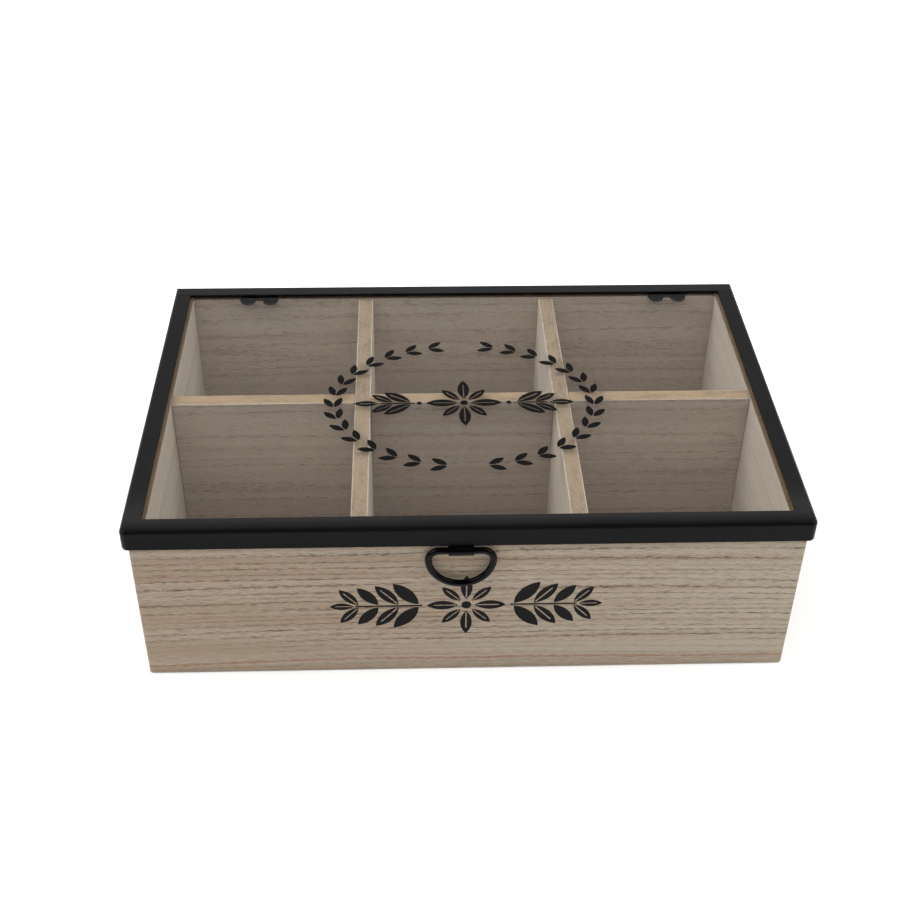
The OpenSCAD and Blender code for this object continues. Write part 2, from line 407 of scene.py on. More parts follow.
@dataclass(frozen=True)
class Veneer:
    """Greyed ash veneer, sanded and matt-lacquered, on a fibreboard core.

    The eye sees broken dark ring lines along the grain, fine fibres between them, and a plain tan
    core with a pale line of veneer down each side wherever a board's edge shows.
    """

    name: str
    grain: Grain
    centre: Vector
    half_length: float
    thickness: float
    top: float
    shift: float
    faces: tuple[Figure, Figure]
    core: str
    skin_t: float
    core_down: float
    far_shift: float = 0.6  # stretch of veneer between the two faces
    years_swing: float = 2.6  # how uneven the years are, in ring gaps
    calm_blur: tuple[float, float] = (-3 * MM, 2 * MM)  # end of the calm foot about its height
    calm_share: float = 0.4  # strength of rings and pores on the calm foot
    crowd_w: tuple[float, float] = (3.0, 0.5)  # where pores crowd to a ring, in its half-widths
    crowd: float = 0.1
    pore_steps: tuple[float, float] = (0.57, 0.72)
    tone_steps: tuple[float, float] = (0.78, 1.22)
    streak_w: tuple[float, float] = (1.1 * MM, 0.2 * MM)  # where the streak is gone and full
    streak_share: float = 0.9
    core_steps: tuple[float, float] = (0.65, 1.1)
    core_shade: float = 0.66  # darkest fibreboard as a share of its colour
    edge_blur: float = 0.15 * MM

    def build(self) -> Material:
        """Makes the material.

        Returns:
            The veneer, turned and centred for its board.
        """
        material, tree, surface = new_material(self.name)
        where = add_node(tree, "ShaderNodeTexCoord", output="Object")
        centred = add_node(
            tree, "ShaderNodeVectorMath", {0: where, 1: tuple(self.centre)}, operation="SUBTRACT"
        )
        turn = -math.pi / 2 if self.grain is Grain.ALONG_Y else 0.0
        turned = add_node(tree, "ShaderNodeMapping", {"Vector": centred, "Rotation": (0, 0, turn)})
        through = add_node(tree, "ShaderNodeSeparateXYZ", {0: turned}, "Y")
        colour, relief = self._face(tree, turned, self.faces[0], self.shift)
        if self.faces[0] is not self.faces[1]:
            shift = self.shift + self.far_shift
            far, far_relief = self._face(tree, turned, self.faces[1], shift)
            side = add_node(tree, "ShaderNodeMath", {0: through, 1: 0.0}, operation="GREATER_THAN")
            colour = add_node(
                tree,
                "ShaderNodeMix",
                {0: side, COLOUR_A: colour, COLOUR_B: far},
                MIXED_COLOUR,
                data_type="RGBA",
            )
            relief = add_node(
                tree, "ShaderNodeMix", {0: side, NUMBER_A: relief, NUMBER_B: far_relief}
            )
        core_share = self._core_share(tree, turned, through)
        colour = add_node(
            tree,
            "ShaderNodeMix",
            {0: core_share, COLOUR_A: colour, COLOUR_B: self._core(tree, turned)},
            MIXED_COLOUR,
            data_type="RGBA",
        )
        bump = add_node(
            tree, "ShaderNodeBump", {"Height": relief, "Strength": 0.5, "Distance": 0.15 * MM}
        )
        shader = add_node(
            tree,
            "ShaderNodeBsdfPrincipled",
            {"Base Color": colour, "Roughness": 0.6, "Normal": bump, "Specular IOR Level": 0.3},
        )
        tree.links.new(shader, surface)
        return material

    def _noise(self, tree: Tree, where: Socket, layer: Layer) -> Socket:
        """Lays one layer of noise, stretched along the grain.

        Args:
            tree: the node tree.
            where: board coordinates, X along the grain.
            layer: the size of its features.

        Returns:
            The noise's value socket, around 0.5.
        """
        scaled = add_node(
            tree,
            "ShaderNodeMapping",
            {
                "Vector": where,
                "Location": (layer.seed, layer.seed, layer.seed),
                "Scale": (1 / layer.along, 1 / layer.across, 1 / layer.across),
            },
        )
        return add_node(
            tree,
            "ShaderNodeTexNoise",
            {"Vector": scaled, "Scale": 1.0, "Detail": layer.detail, "Roughness": 0.55},
        )

    def _face(
        self, tree: Tree, turned: Socket, figure: Figure, shift: float
    ) -> tuple[Socket, Socket]:
        """Draws one face of veneer.

        Args:
            tree: the node tree.
            turned: board coordinates, X along the grain and Z across it.
            figure: how the face is figured.
            shift: which stretch of the veneer the face shows.

        Returns:
            Colour socket and height socket.
        """
        board = add_node(
            tree, "ShaderNodeMapping", {"Vector": turned, "Location": (shift, 0, shift)}
        )
        along = add_node(tree, "ShaderNodeSeparateXYZ", {0: turned}, "X")
        height = add_node(tree, "ShaderNodeSeparateXYZ", {0: turned}, "Z")
        across, off = self._ring_place(tree, board, along, figure)
        reach = figure.ring_half_w / figure.ring_gap
        pores = self._noise(tree, board, PORES)
        foot = [figure.calm_below + blur for blur in self.calm_blur]
        ring, by_ring, bead, dash, fade, calm, blush = [
            add_node(tree, "ShaderNodeMapRange", dict(zip(RANGE, values)), **SMOOTH)
            for values in (
                (off, reach, 0.0),
                (off, *(width * reach for width in self.crowd_w), 0.0, self.crowd),
                (pores, *PORES.steps),
                (self._noise(tree, board, DASHES), *DASHES.steps),
                (self._noise(tree, board, FADING), *FADING.steps),
                (height, *foot, self.calm_share, 1.0),
                (self._noise(tree, board, BLUSH), *BLUSH.steps),
            )
        ]
        for share in (figure.ring_depth, dash, fade, calm, bead):
            ring = add_node(tree, "ShaderNodeMath", {0: ring, 1: share}, operation="MULTIPLY")
        pores = add_node(tree, "ShaderNodeMath", {0: pores, 1: by_ring}, operation="ADD")
        pores = add_node(
            tree,
            "ShaderNodeMapRange",
            dict(zip(RANGE, (pores, *self.pore_steps, 0.0, figure.pore_depth))),
            **SMOOTH,
        )
        pores = add_node(tree, "ShaderNodeMath", {0: pores, 1: calm}, operation="MULTIPLY")
        dark = add_node(tree, "ShaderNodeMath", {0: ring, 1: pores}, operation="MAXIMUM")
        fibres = self._noise(tree, board, FIBRES)
        bands = self._noise(tree, board, BANDS)
        tone = add_node(tree, "ShaderNodeMath", {0: fibres, 1: bands}, operation="ADD")
        # painted light: the tone rises steadily along the board, lighter towards +X
        painted_light_drift = figure.painted_light_drift / self.half_length
        tone = add_node(
            tree, "ShaderNodeMath", {0: along, 1: painted_light_drift, 2: tone}, operation="MULTIPLY_ADD"
        )
        tone = add_node(
            tree, "ShaderNodeMapRange", dict(zip(RANGE, (tone, *self.tone_steps))), **SMOOTH
        )
        if figure.streak_at > 0:
            streak = self._streak(tree, across, dash, figure)
            blush = add_node(tree, "ShaderNodeMath", {0: blush, 1: streak}, operation="MAXIMUM")
        colour = linear(figure.dark)
        for share, shade in ((tone, figure.light), (blush, figure.blush), (dark, figure.ring)):
            colour = add_node(
                tree,
                "ShaderNodeMix",
                {0: share, COLOUR_A: colour, COLOUR_B: linear(shade)},
                MIXED_COLOUR,
                data_type="RGBA",
            )
        relief = add_node(tree, "ShaderNodeMath", {0: fibres, 1: dark}, operation="SUBTRACT")
        return colour, relief

    def _ring_place(
        self, tree: Tree, board: Socket, along: Socket, figure: Figure
    ) -> tuple[Socket, Socket]:
        """Works out where a point lies among the growth rings.

        Args:
            tree: the node tree.
            board: coordinates on the stretch of veneer.
            along: distance from the board's middle along the grain.
            figure: how the face is figured.

        Returns:
            Distance across the grain, bent as the rings are, and distance from a ring in gaps.
        """
        across = add_node(tree, "ShaderNodeSeparateXYZ", {0: board}, "Z")
        bowed = add_node(tree, "ShaderNodeMath", {0: along, 1: along}, operation="MULTIPLY")
        for push, by in (
            (self._noise(tree, board, WANDER), figure.wander),
            (self._noise(tree, board, JOGS), figure.jog),
            (bowed, figure.bow / self.half_length**2),
        ):
            across = add_node(
                tree, "ShaderNodeMath", {0: push, 1: by, 2: across}, operation="MULTIPLY_ADD"
            )
        years = self._noise(tree, board, YEARS)
        years = add_node(
            tree, "ShaderNodeMath", {0: years, 1: self.years_swing}, operation="MULTIPLY"
        )
        off = add_node(
            tree,
            "ShaderNodeMath",
            {0: across, 1: 1 / figure.ring_gap, 2: years},
            operation="MULTIPLY_ADD",
        )
        off = add_node(tree, "ShaderNodeMath", {0: off}, operation="FRACT")
        off = add_node(tree, "ShaderNodeMath", {0: off, 1: 0.5}, operation="SUBTRACT")
        return across, add_node(tree, "ShaderNodeMath", {0: off}, operation="ABSOLUTE")

    def _streak(self, tree: Tree, across: Socket, dash: Socket, figure: Figure) -> Socket:
        """Draws the rosy streak near the foot.

        Args:
            tree: the node tree.
            across: distance across the grain, bent as the rings are.
            dash: the layer that breaks up the rings.
            figure: how the face is figured.

        Returns:
            The streak's share of the blush.
        """
        off = add_node(
            tree, "ShaderNodeMath", {0: across, 1: figure.streak_at}, operation="SUBTRACT"
        )
        off = add_node(tree, "ShaderNodeMath", {0: off}, operation="ABSOLUTE")
        streak = add_node(
            tree,
            "ShaderNodeMapRange",
            dict(zip(RANGE, (off, *self.streak_w, 0.0, self.streak_share))),
            **SMOOTH,
        )
        return add_node(tree, "ShaderNodeMath", {0: streak, 1: dash}, operation="MULTIPLY")

    def _core(self, tree: Tree, turned: Socket) -> Socket:
        """Mottles the fibreboard core.

        Args:
            tree: the node tree.
            turned: board coordinates from the board's middle.

        Returns:
            The colour socket.
        """
        fuzz = self._noise(tree, turned, FUZZ)
        mottle = self._noise(tree, turned, MOTTLE)
        tone = add_node(tree, "ShaderNodeMath", {0: fuzz, 1: mottle}, operation="ADD")
        tone = add_node(
            tree, "ShaderNodeMapRange", dict(zip(RANGE, (tone, *self.core_steps))), **SMOOTH
        )
        red, green, blue, _ = (self.core_shade * part for part in linear(self.core))
        return add_node(
            tree,
            "ShaderNodeMix",
            {0: tone, COLOUR_A: (red, green, blue, 1.0), COLOUR_B: linear(self.core)},
            MIXED_COLOUR,
            data_type="RGBA",
        )

    def _core_share(self, tree: Tree, turned: Socket, through: Socket) -> Socket:
        """Finds where the core shows: on the top edge and in notches, deeper than the veneer.

        Args:
            tree: the node tree.
            turned: board coordinates from the board's middle.
            through: distance from the board's middle plane.

        Returns:
            A socket that is 1 on the core.
        """
        ragged = 1.5 * self.skin_t
        inner = self.thickness / 2 - self.skin_t - ragged / 2
        foot = self.top - self.core_down
        depth = add_node(tree, "ShaderNodeMath", {0: through}, operation="ABSOLUTE")
        chips = self._noise(tree, turned, CHIPS)
        depth = add_node(
            tree, "ShaderNodeMath", {0: chips, 1: -ragged, 2: depth}, operation="MULTIPLY_ADD"
        )
        height = add_node(tree, "ShaderNodeSeparateXYZ", {0: turned}, "Z")
        inside, above = [
            add_node(tree, "ShaderNodeMapRange", dict(zip(RANGE, values)), **SMOOTH)
            for values in (
                (depth, inner + 0.4 * self.skin_t, inner),
                (height, foot - self.edge_blur, foot + self.edge_blur),
            )
        ]
        return add_node(tree, "ShaderNodeMath", {0: inside, 1: above}, operation="MULTIPLY")


# ---------------------------------------------------------------- other finishes


@dataclass(frozen=True)
class PowderCoat:
    """Satin black powder coat on sheet steel.

    The eye sees a fine orange peel that spreads its highlights. Fine dust mixed with painted sheen
    greys the level top of the lid and leaves its bends and skirts black.
    """

    name: str = "satin_black_powder_coat"
    colour: str = "#070708"
    # dust mixed with painted sheen: the grey that lightens the level top of the lid
    dust_and_sheen: str = "#272626"
    roughness: float = 0.4
    roughness_swing: float = 0.06
    gloss: float = 0.08
    peel: float = 0.7 * MM
    wear: float = 24 * MM
    # where the dust and painted sheen lie: from the start of the bend upward, thin at the front
    # edge, halved behind the front rail and raised again over the back rail
    dust_and_sheen_from: float = 70.8 * MM
    dust_and_sheen_full: float = 70.99 * MM
    sides_from: float = -70 * MM
    sides_fade: float = 12 * MM
    back_from: float = 73 * MM
    back_fade: float = 2 * MM
    front_edge: float = -79 * MM
    front_fade: float = 5 * MM

    def build(self) -> Material:
        """Makes the material.

        Returns:
            The powder coat.
        """
        material, tree, surface = new_material(self.name)
        where = add_node(tree, "ShaderNodeTexCoord", output="Object")
        peel, wear = [
            add_node(
                tree, "ShaderNodeTexNoise", {"Vector": where, "Scale": 1 / size, "Detail": detail}
            )
            for size, detail in ((self.peel, 2.0), (self.wear, 3.0))
        ]
        dull = self.roughness - self.roughness_swing, self.roughness + self.roughness_swing
        rough = add_node(tree, "ShaderNodeMapRange", dict(zip(RANGE, (wear, 0.3, 0.7, *dull))))
        bump = add_node(
            tree, "ShaderNodeBump", {"Height": peel, "Strength": 0.25, "Distance": 0.02 * MM}
        )
        coat = add_node(
            tree,
            "ShaderNodeMix",
            {
                # dust mixed with painted sheen lightens the level top
                0: self._dust_and_sheen(tree, where, wear),
                COLOUR_A: linear(self.colour),
                COLOUR_B: linear(self.dust_and_sheen),
            },
            MIXED_COLOUR,
            data_type="RGBA",
        )
        shader = add_node(
            tree,
            "ShaderNodeBsdfPrincipled",
            {
                "Base Color": coat,
                "Roughness": rough,
                "Normal": bump,
                "Specular IOR Level": self.gloss,
            },
        )
        tree.links.new(shader, surface)
        return material

    def _dust_and_sheen(self, tree: Tree, where: Socket, wear: Socket) -> Socket:
        """Lays dust and painted sheen on the top, least at the front edge and most on the back
        rail.

        Args:
            tree: the node tree.
            where: place on the object.
            wear: noise that makes the dust uneven.

        Returns:
            How much dust and painted sheen there is, from 0.
        """
        depth = add_node(tree, "ShaderNodeSeparateXYZ", {0: where}, "Y")
        height = add_node(tree, "ShaderNodeSeparateXYZ", {0: where}, "Z")
        dust_and_sheen_share = add_node(
            tree,
            "ShaderNodeMapRange",
            dict(zip(RANGE, (height, self.dust_and_sheen_from, self.dust_and_sheen_full))),
            **SMOOTH,
        )
        for values in (
            (wear, 0.3, 0.7, 0.85, 1.0),
            (depth, self.front_edge, self.front_edge + self.front_fade, 0.1, 1.0),
            (depth, self.sides_from, self.sides_from + self.sides_fade, 1.0, 0.5),
            (depth, self.back_from, self.back_from + self.back_fade, 1.0, 1.7),
        ):
            share = add_node(tree, "ShaderNodeMapRange", dict(zip(RANGE, values)))
            dust_and_sheen_share = add_node(
                tree, "ShaderNodeMath", {0: dust_and_sheen_share, 1: share}, operation="MULTIPLY"
            )
        return dust_and_sheen_share


@dataclass(frozen=True)
class FloatGlass:
    """Clear float glass.

    The eye sees through it with a faint mirror of the room. Lamps pass it unhindered, so that the
    cells are lit as through real glass.
    """

    name: str = "clear_float_glass"
    tint: str = "#fafcfb"

    def build(self) -> Material:
        """Makes the material.

        Returns:
            The glass.
        """
        material, tree, surface = new_material(self.name)
        shadow, diffuse = [
            add_node(tree, "ShaderNodeLightPath", output=ray)
            for ray in ("Is Shadow Ray", "Is Diffuse Ray")
        ]
        passing = add_node(tree, "ShaderNodeMath", {0: shadow, 1: diffuse}, operation="MAXIMUM")
        glass = add_node(
            tree,
            "ShaderNodeBsdfPrincipled",
            {
                "Base Color": linear(self.tint),
                "Roughness": 0.0,
                "IOR": 1.5,
                "Transmission Weight": 1.0,
            },
        )
        clear = add_node(tree, "ShaderNodeBsdfTransparent", {"Color": linear(self.tint)})
        shader = add_node(tree, "ShaderNodeMixShader", {0: passing, 1: glass, 2: clear})
        tree.links.new(shader, surface)
        return material


@dataclass(frozen=True)
class PlainCoat:
    """A finish of one colour with a fine grain in its gloss, such as ink, sealant or zinc."""

    name: str
    colour: str
    roughness: float
    metallic: float = 0.0
    gloss: float = 0.5
    grain: float = 0.5 * MM
    bump: float = 0.01 * MM
    roughness_swing: float = 0.08

    def build(self) -> Material:
        """Makes the material.

        Returns:
            The finish.
        """
        material, tree, surface = new_material(self.name)
        where = add_node(tree, "ShaderNodeTexCoord", output="Object")
        speck = add_node(
            tree, "ShaderNodeTexNoise", {"Vector": where, "Scale": 1 / self.grain, "Detail": 3.0}
        )
        dull = self.roughness - self.roughness_swing, self.roughness + self.roughness_swing
        rough = add_node(tree, "ShaderNodeMapRange", dict(zip(RANGE, (speck, 0.0, 1.0, *dull))))
        bump = add_node(
            tree, "ShaderNodeBump", {"Height": speck, "Strength": 0.4, "Distance": self.bump}
        )
        shader = add_node(
            tree,
            "ShaderNodeBsdfPrincipled",
            {
                "Base Color": linear(self.colour),
                "Roughness": rough,
                "Metallic": self.metallic,
                "Specular IOR Level": self.gloss,
                "Normal": bump,
            },
        )
        tree.links.new(shader, surface)
        return material


# Screen-printed ink: flat black and almost without gloss, a little smoother on glass.
WOOD_INK = PlainCoat("black_wood_ink", "#0c0b0b", 0.6, gloss=0.1)
GLASS_INK = PlainCoat("black_glass_ink", "#070707", 0.5, gloss=0.12)
# Cured silicone: black, with the soft sheen of rubber.
SILICONE = PlainCoat("black_silicone", "#0e0e0e", 0.5)
# Zinc plate passivated black: a dark metal with a broad highlight.
BLACK_ZINC = PlainCoat("black_zinc_plate", "#3a3a3a", 0.35, metallic=0.9)
# Dipped lacquer on wire and strip: deep black with a sharp, weak highlight.
LACQUER = PlainCoat("gloss_black_lacquer", "#030303", 0.1, gloss=0.09)
# Bare fibreboard: matt brown.
FIBREBOARD = PlainCoat("bare_fibreboard", "#7b6448", 0.75)
# Matt paper: an even white without gloss.
PAPER = PlainCoat("matt_white_floor", "#fcfcfc", 0.9, gloss=0.0)


# ---------------------------------------------------------------- sub-assemblies


@dataclass(frozen=True)
class BoardSpec:
    """How one board's grain runs, the figure of its two faces, and its core.

    The face at the lower coordinate comes first. The core has its colour, the thickness of the
    veneer over it, and how far below the top edge it shows.
    """

    grain: Grain
    faces: tuple[Figure, Figure]
    core: str
    skin_t: float
    core_down: float = 0.55 * MM


BOARDS = {
    # The outer panels' darker cores are painted shade from the lid's flange over their top edges;
    # the back panel's core is darkest, and it shows in its hinge notches too.
    "front_panel": BoardSpec(Grain.ALONG_X, (FRONT, SOFT), "#6b543b", 0.06 * MM),
    "back_panel": BoardSpec(Grain.ALONG_X, (SOFT, BOLD), "#3d2c1c", 0.06 * MM, 6 * MM),
    "left_panel": BoardSpec(Grain.ALONG_Y, (BOLD, PALE), "#6b543b", 0.06 * MM),
    "right_panel": BoardSpec(Grain.ALONG_Y, (PALE, BOLD), "#6b543b", 0.06 * MM),
    "long_divider": BoardSpec(Grain.ALONG_X, (SOFT, SOFT), "#9a8167", 0.35 * MM),
    "left_cross_divider": BoardSpec(Grain.ALONG_Y, (PALE, PALE), "#8e7964", 0.4 * MM),
    "right_cross_divider": BoardSpec(Grain.ALONG_Y, (PALE, PALE), "#8e7964", 0.4 * MM),
}


@dataclass
class Boards:
    """The panels and dividers, each a veneered fibreboard board with eased edges."""

    eased: float = 0.3 * MM
    stretch: float = 0.37  # shift of the veneer from one board to the next

    def dress(self) -> None:
        """Gives every board its eased edges and its own stretch of veneer."""
        for index, (name, spec) in enumerate(BOARDS.items()):
            low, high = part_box(name)
            across = spec.grain is Grain.ALONG_Y
            length, thickness = (high - low).xy.yx if across else (high - low).xy
            centre = (low + high) / 2
            centre.z = 0.0
            veneer = Veneer(
                name=name + "_veneer",
                grain=spec.grain,
                centre=centre,
                half_length=length / 2,
                thickness=thickness,
                top=high.z,
                shift=self.stretch * index,
                faces=spec.faces[::-1] if across else spec.faces,
                core=spec.core,
                skin_t=spec.skin_t,
                core_down=spec.core_down,
            )
            dress_node(name, veneer.build(), self.eased)
        dress_node("bottom_panel", FIBREBOARD.build(), self.eased)


@dataclass
class Steel:
    """The lid's frame, the hinges, the ring and its clip."""

    eased: float = 0.12 * MM

    def dress(self) -> None:
        """Gives the painted steel its coat, and the ring and its clip their lacquer."""
        coat = PowderCoat().build()
        for name in ("front", "back", "left", "right"):
            dress_node(f"lid_{name}_rail", coat)
        for side in ("left", "right"):
            for part in ("upper_leaf", "lower_leaf", "pin"):
                dress_node(f"{side}_hinge_{part}", coat)
        lacquer = LACQUER.build()
        dress_node("ring_clip", lacquer, self.eased)
        dress_node("pull_ring", lacquer)


@dataclass
class Screws:
    """Round-head cross-recess screws that hold the lower hinge leaves."""

    leaf_t: float = 0.8 * MM
    half_pitch: float = 4.7 * MM
    head_r: float = 1.8 * MM
    head_h: float = 0.9 * MM
    dome: float = 0.62
    shank_r: float = 0.95 * MM
    buried: float = 0.1 * MM
    recess_l: float = 2.1 * MM
    recess_w: float = 0.42 * MM
    recess_d: float = 0.45 * MM
    recess_turn: float = 20.0
    smooth: float = math.radians(32)
    driven_to: tuple[tuple[float, float], ...] = ((-17, 17), (14, 48))

    def build(self) -> None:
        """Models one screw and copies it to its four places."""
        low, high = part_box("hinge_screws")
        leaf_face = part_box("back_panel")[1].y + self.leaf_t
        screw = self._screw(leaf_face - low.y)
        out = Matrix.Rotation(math.radians(-90), 4, "X")
        copies = []
        for hinge, turns in zip(("left", "right"), self.driven_to):
            leaf_low, leaf_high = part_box(f"{hinge}_hinge_lower_leaf")
            middle = (leaf_low.x + leaf_high.x) / 2
            for side, turn in zip((-1, 1), turns):
                at = (middle + side * self.half_pitch, leaf_face, (low.z + high.z) / 2)
                spin = Matrix.Rotation(math.radians(turn), 4, "Z")
                copies.append(copy_of(screw, Matrix.Translation(at) @ out @ spin))
        bpy.data.objects.remove(screw)
        screws = join(copies, "cross_recess_screws")
        pick(screws)
        bpy.ops.object.shade_smooth_by_angle(angle=self.smooth)
        paint(screws, BLACK_ZINC.build())
        settle(screws, "box", "zinc_steel", "hinge_screws")

    def _screw(self, shank_l: float) -> Piece:
        """Models one screw, its head's underside at the origin and its head upward.

        Args:
            shank_l: length of the shank below the head.

        Returns:
            The screw.
        """
        middle = Vector((0, 0, self.head_h / 2))
        screw = add_cylinder("screw", middle, self.head_r, self.head_h, 40)
        add_bevel(screw, self.dome * self.head_h, 5)
        apply_modifiers(screw)
        for turn in (0, 90):
            size = Vector((self.recess_l, self.recess_w, 2 * self.recess_d))
            arm = add_box("recess", Vector((0, 0, self.head_h)), size)
            arm.data.transform(Matrix.Rotation(math.radians(turn + self.recess_turn), 4, "Z"))
            cut(screw, arm)
        middle = Vector((0, 0, self.buried - shank_l / 2))
        cut(screw, add_cylinder("shank", middle, self.shank_r, shank_l, 24), "UNION")
        return screw


@dataclass
class Glazing:
    """The lid's pane, with rounded corners and ground edges, and the sealant round it."""

    corner: float = 0.9 * MM
    ground: float = 0.35 * MM

    def build(self) -> None:
        """Dresses the sealant and models the pane in place of the plain one."""
        dress_node("glass_seal", SILICONE.build())
        low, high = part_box("glass_pane")
        pane = add_box("ground_edge_pane", (low + high) / 2, high - low)
        pick(pane)
        bpy.ops.object.mode_set(mode="EDIT")
        bpy.ops.mesh.select_all(action="DESELECT")
        bpy.ops.mesh.select_mode(type="EDGE")
        bpy.ops.object.mode_set(mode="OBJECT")
        for edge in pane.data.edges:
            foot, head = (pane.data.vertices[index].co for index in edge.vertices)
            edge.select = abs(foot.z - head.z) > (high.z - low.z) / 2
        bpy.ops.object.mode_set(mode="EDIT")
        bpy.ops.mesh.bevel(offset=self.corner, segments=6, affect="EDGES")
        bpy.ops.object.mode_set(mode="OBJECT")
        add_bevel(pane, self.ground, 2)
        apply_modifiers(pane)
        paint(pane, FloatGlass().build())
        settle(pane, "lid", "clear_glass", "glass_pane")


@dataclass
class Ornament:
    """Leaf ornament printed in one thin coat of ink, drawn flat and then laid on its face."""

    name: str
    ink_t: float = 0.04 * MM
    lift: float = 0.005 * MM
    strokes: list[Piece] = field(default_factory=list)

    def leaf(self, length: float, width: float, rib: float = 0.0) -> Piece:
        """Models one pointed leaf that lies along X with its stalk end at the origin.

        Args:
            length: from stalk to tip.
            width: at its widest.
            rib: width of the bare line along its middle.

        Returns:
            The leaf, a flat closed mesh.
        """
        radius = (length**2 + width**2) / (4 * width)
        offset = radius - width / 2
        upper = add_cylinder("leaf", Vector((length / 2, offset, 0)), radius, self.ink_t, 180)
        lower = add_cylinder("edge", Vector((length / 2, -offset, 0)), radius, 2 * self.ink_t, 180)
        cut(upper, lower, "INTERSECT")
        if rib:
            middle = Vector((0.42 * length, 0, 0))
            cut(upper, add_box("rib", middle, Vector((0.7 * length, rib, 1 * MM))))
        return upper

    def put(
        self,
        stroke: Piece,
        at: tuple[float, float],
        turn: float,
        size: float = 1.0,
        gap: float = 0.0,
    ) -> None:
        """Lays a copy of a stroke on the sheet.

        Args:
            stroke: the stroke modelled once.
            at: its anchor on the sheet.
            turn: angle in degrees.
            size: scale of the copy.
            gap: bare distance between the anchor and the stroke.
        """
        place = Matrix.Translation((*at, 0)) @ Matrix.Rotation(math.radians(turn), 4, "Z")
        flat = Matrix.Translation((gap, 0, 0)) @ Matrix.Diagonal((size, size, 1, 1))
        self.strokes.append(copy_of(stroke, place @ flat))

    def dot(self, at: tuple[float, float], radius: float) -> None:
        """Lays a round dot on the sheet, with its middle and radius as given."""
        self.strokes.append(add_cylinder("dot", Vector((*at, 0)), radius, self.ink_t, 40))

    def bar(self, at: tuple[float, float], length: float, width: float) -> None:
        """Lays a level bar on the sheet, with its middle, length and width as given."""
        self.strokes.append(add_box("bar", Vector((*at, 0)), Vector((length, width, self.ink_t))))

    def rosette(
        self,
        petal: Piece,
        at: tuple[float, float],
        sizes: tuple[float, float],
        gap: float,
        heart_r: float,
    ) -> None:
        """Lays eight petals round a dot.

        Args:
            petal: the petal modelled once.
            at: the middle.
            sizes: scale of the upright and level petals, and of those between.
            gap: bare distance between the middle and a petal.
            heart_r: radius of the dot.
        """
        for turn in range(0, 360, 45):
            self.put(petal, at, turn, sizes[1] if turn % 90 else sizes[0], gap)
        self.dot(at, heart_r)

    def lay(self, sheet: Matrix, body: str, slot: str, finish: Material) -> None:
        """Joins the strokes, lays the sheet on its face and hands it over.

        Args:
            sheet: where the flat drawing goes.
            body: the body that it rides on.
            slot: the record's material slot, passed on but not used.
            finish: the ink.
        """
        print_piece = join(self.strokes, self.name)
        print_piece.data.transform(sheet)
        paint(print_piece, finish)
        settle(print_piece, body, slot)


@dataclass
class GlassOrnament(Ornament):
    """Laurel wreath round a leafy spray, on the glass."""

    name: str = "glass_print"
    centre: tuple[float, float] = (0.5 * MM, -6 * MM)
    half_w: float = 50 * MM
    half_h: float = 39 * MM
    per_side: int = 15
    branch: tuple[float, float] = (-82, 74)
    laurel: tuple[float, float] = (7.4 * MM, 3.0 * MM)
    laurel_size: float = 0.9
    laurel_gap: float = 0.8 * MM
    laurel_lean: float = 27
    petal: tuple[float, float, float] = (15 * MM, 5.6 * MM, 0.5 * MM)
    petal_sizes: tuple[float, float] = (0.8, 0.62)
    petal_gap: float = 2.6 * MM
    heart_r: float = 1.5 * MM
    bud_r: float = 1.0 * MM
    bud_x: float = 17.2 * MM
    spray_x: tuple[float, float] = (19.5 * MM, 26.5 * MM)
    spray_gap: float = 1.3 * MM
    spray_lean: float = 32
    tip_x: float = 33 * MM
    stalk: tuple[float, float, float] = (25.5 * MM, 13 * MM, 0.6 * MM)

    def build(self) -> None:
        """Draws the wreath and the spray."""
        small = self.leaf(*self.laurel)
        large = self.leaf(*self.petal)
        middle = self.centre[1]
        first, last = self.branch
        for side in (-1, 1):
            for step in range(self.per_side):
                angle = first + (last - first) * step / (self.per_side - 1)
                self._pair(small, side, math.radians(angle))
        self.rosette(large, (0, middle), self.petal_sizes, self.petal_gap, self.heart_r)
        for side, base in ((1, 0), (-1, 180)):
            self.dot((side * self.bud_x, middle), self.bud_r)
            for x, size in zip(self.spray_x, self.petal_sizes):
                for lean in (-self.spray_lean, self.spray_lean):
                    self.put(large, (side * x, middle), base + lean, size, self.spray_gap)
            self.put(large, (side * self.tip_x, middle), base, self.petal_sizes[1])
            self.bar((side * self.stalk[0], middle), *self.stalk[1:])
        bpy.data.objects.remove(small)
        bpy.data.objects.remove(large)
        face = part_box("glass_pane")[1].z + self.lift + self.ink_t / 2
        sheet = Matrix.Translation((self.centre[0], 0, face))
        self.lay(sheet, "lid", "clear_glass", GLASS_INK.build())

    def _pair(self, small: Piece, side: int, angle: float) -> None:
        """Lays one pair of laurel leaves on the wreath.

        Args:
            small: the leaf modelled once.
            side: -1 for the left branch, 1 for the right one.
            angle: place on the oval, from its right end upward.
        """
        across, up = math.cos(angle), math.sin(angle)
        at = (side * self.half_w * across, self.centre[1] + self.half_h * up)
        run = math.degrees(math.atan2(self.half_h * across, -side * self.half_w * up))
        for lean in (-self.laurel_lean, self.laurel_lean):
            self.put(small, at, run + lean, self.laurel_size, self.laurel_gap)


